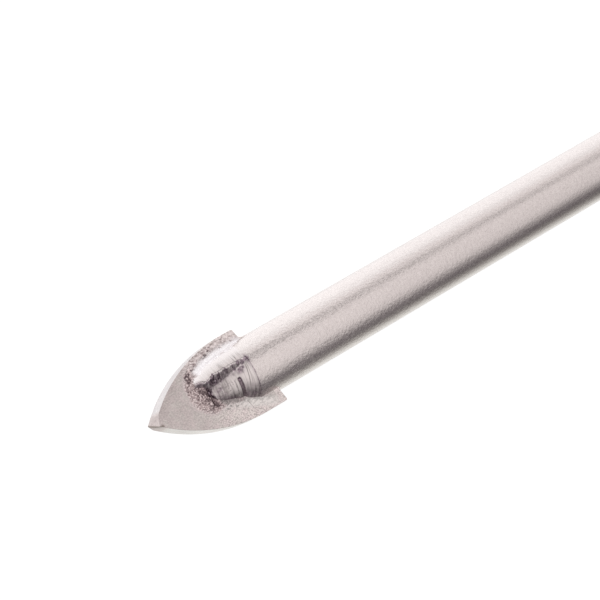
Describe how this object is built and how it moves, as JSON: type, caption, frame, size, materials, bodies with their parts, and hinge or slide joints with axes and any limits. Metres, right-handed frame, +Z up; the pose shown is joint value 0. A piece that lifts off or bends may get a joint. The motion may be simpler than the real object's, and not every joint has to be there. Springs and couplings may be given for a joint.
{
  "type": "glass and tile drill bit",
  "caption": "Spear-point drill bit for glass and tile: flat carbide blade brazed into the slotted, ground nose of a plain round steel shank.",
  "frame": {"origin": "middle of the bit's length, on the surface it lies on, straight below its axis", "axes": "+X along the axis, toward the plain end of the shank; -X toward the point; +Z up"},
  "size_m": [0.08, 0.0078, 0.0058],
  "materials": {
    "shank_steel": "satin, fine grain",
    "carbide": "fine ground, dull",
    "braze_alloy": "dark, rough, heat-stained"
  },
  "bodies": {
    "root": {"shank": "shank_steel", "carbide_tip": "carbide", "braze": "braze_alloy"}
  },
  "joints": []
}
